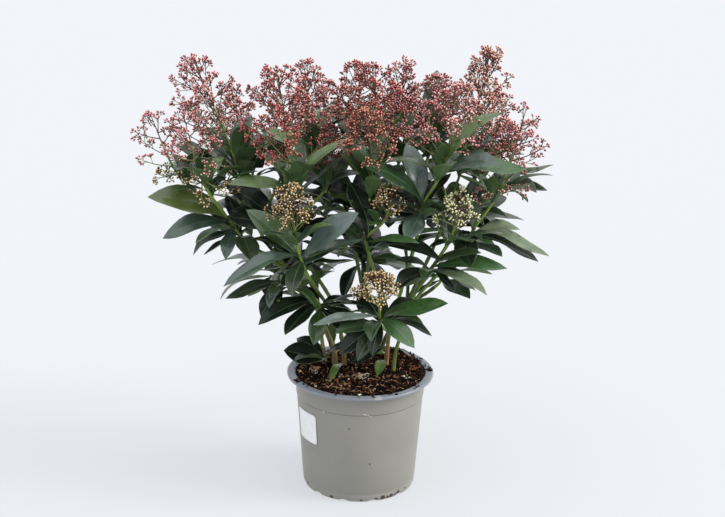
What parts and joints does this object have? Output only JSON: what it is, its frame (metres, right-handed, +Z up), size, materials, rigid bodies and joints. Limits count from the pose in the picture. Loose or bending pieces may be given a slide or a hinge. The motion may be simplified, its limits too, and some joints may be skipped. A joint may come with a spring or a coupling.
{
  "type": "potted skimmia shrub",
  "caption": "Evergreen flowering shrub in bud, with woody stems, whorls of leathery leaves and conical panicles of buds, standing in a round tapered nursery pot filled with soil.",
  "frame": {"origin": "centre of the pot's flat underside, at the mount named base", "axes": "+Z up, +X to the right seen from the front of the plant, +Y towards its back"},
  "size_m": [0.5223, 0.3972, 0.5694],
  "materials": {
    "pot": "satin",
    "soil": "rough, moist",
    "label": "satin",
    "bark": "matte",
    "green_wood": "satin",
    "foliage": "semi-gloss"
  },
  "bodies": {
    "root": {"pot": "pot", "soil": "soil", "label": "label", "left_stem": "bark", "left_middle_stem": "bark", "right_middle_stem": "bark", "right_stem": "bark", "centre_stem": "bark", "back_left_stem": "bark", "back_right_stem": "bark", "far_left_bough": "green_wood", "left_bough": "green_wood", "centre_left_bough": "green_wood", "front_left_bough": "green_wood", "low_left_bough": "green_wood", "front_bough": "green_wood", "front_low_bough": "green_wood", "front_right_bough": "green_wood", "right_inner_bough": "green_wood", "right_bough": "green_wood", "centre_bough": "green_wood", "back_centre_bough": "green_wood", "right_back_bough": "green_wood", "back_left_bough": "green_wood", "back_middle_bough": "green_wood", "back_inner_bough": "green_wood", "back_right_bough": "green_wood", "low_back_bough": "green_wood", "low_back_left_bough": "green_wood", "low_right_bough": "green_wood", "foot_leaves_bough": "green_wood", "far_left_mass": "foliage", "left_mass": "foliage", "centre_left_mass": "foliage", "front_left_mass": "foliage", "low_left_mass": "foliage", "front_mass": "foliage", "front_low_mass": "foliage", "front_right_mass": "foliage", "right_inner_mass": "foliage", "right_mass": "foliage", "centre_mass": "foliage", "back_centre_mass": "foliage", "right_back_mass": "foliage", "back_left_mass": "foliage", "back_middle_mass": "foliage", "back_inner_mass": "foliage", "back_right_mass": "foliage", "low_back_mass": "foliage", "low_back_left_mass": "foliage", "low_right_mass": "foliage", "foot_leaves_mass": "foliage"}
  },
  "joints": []
}
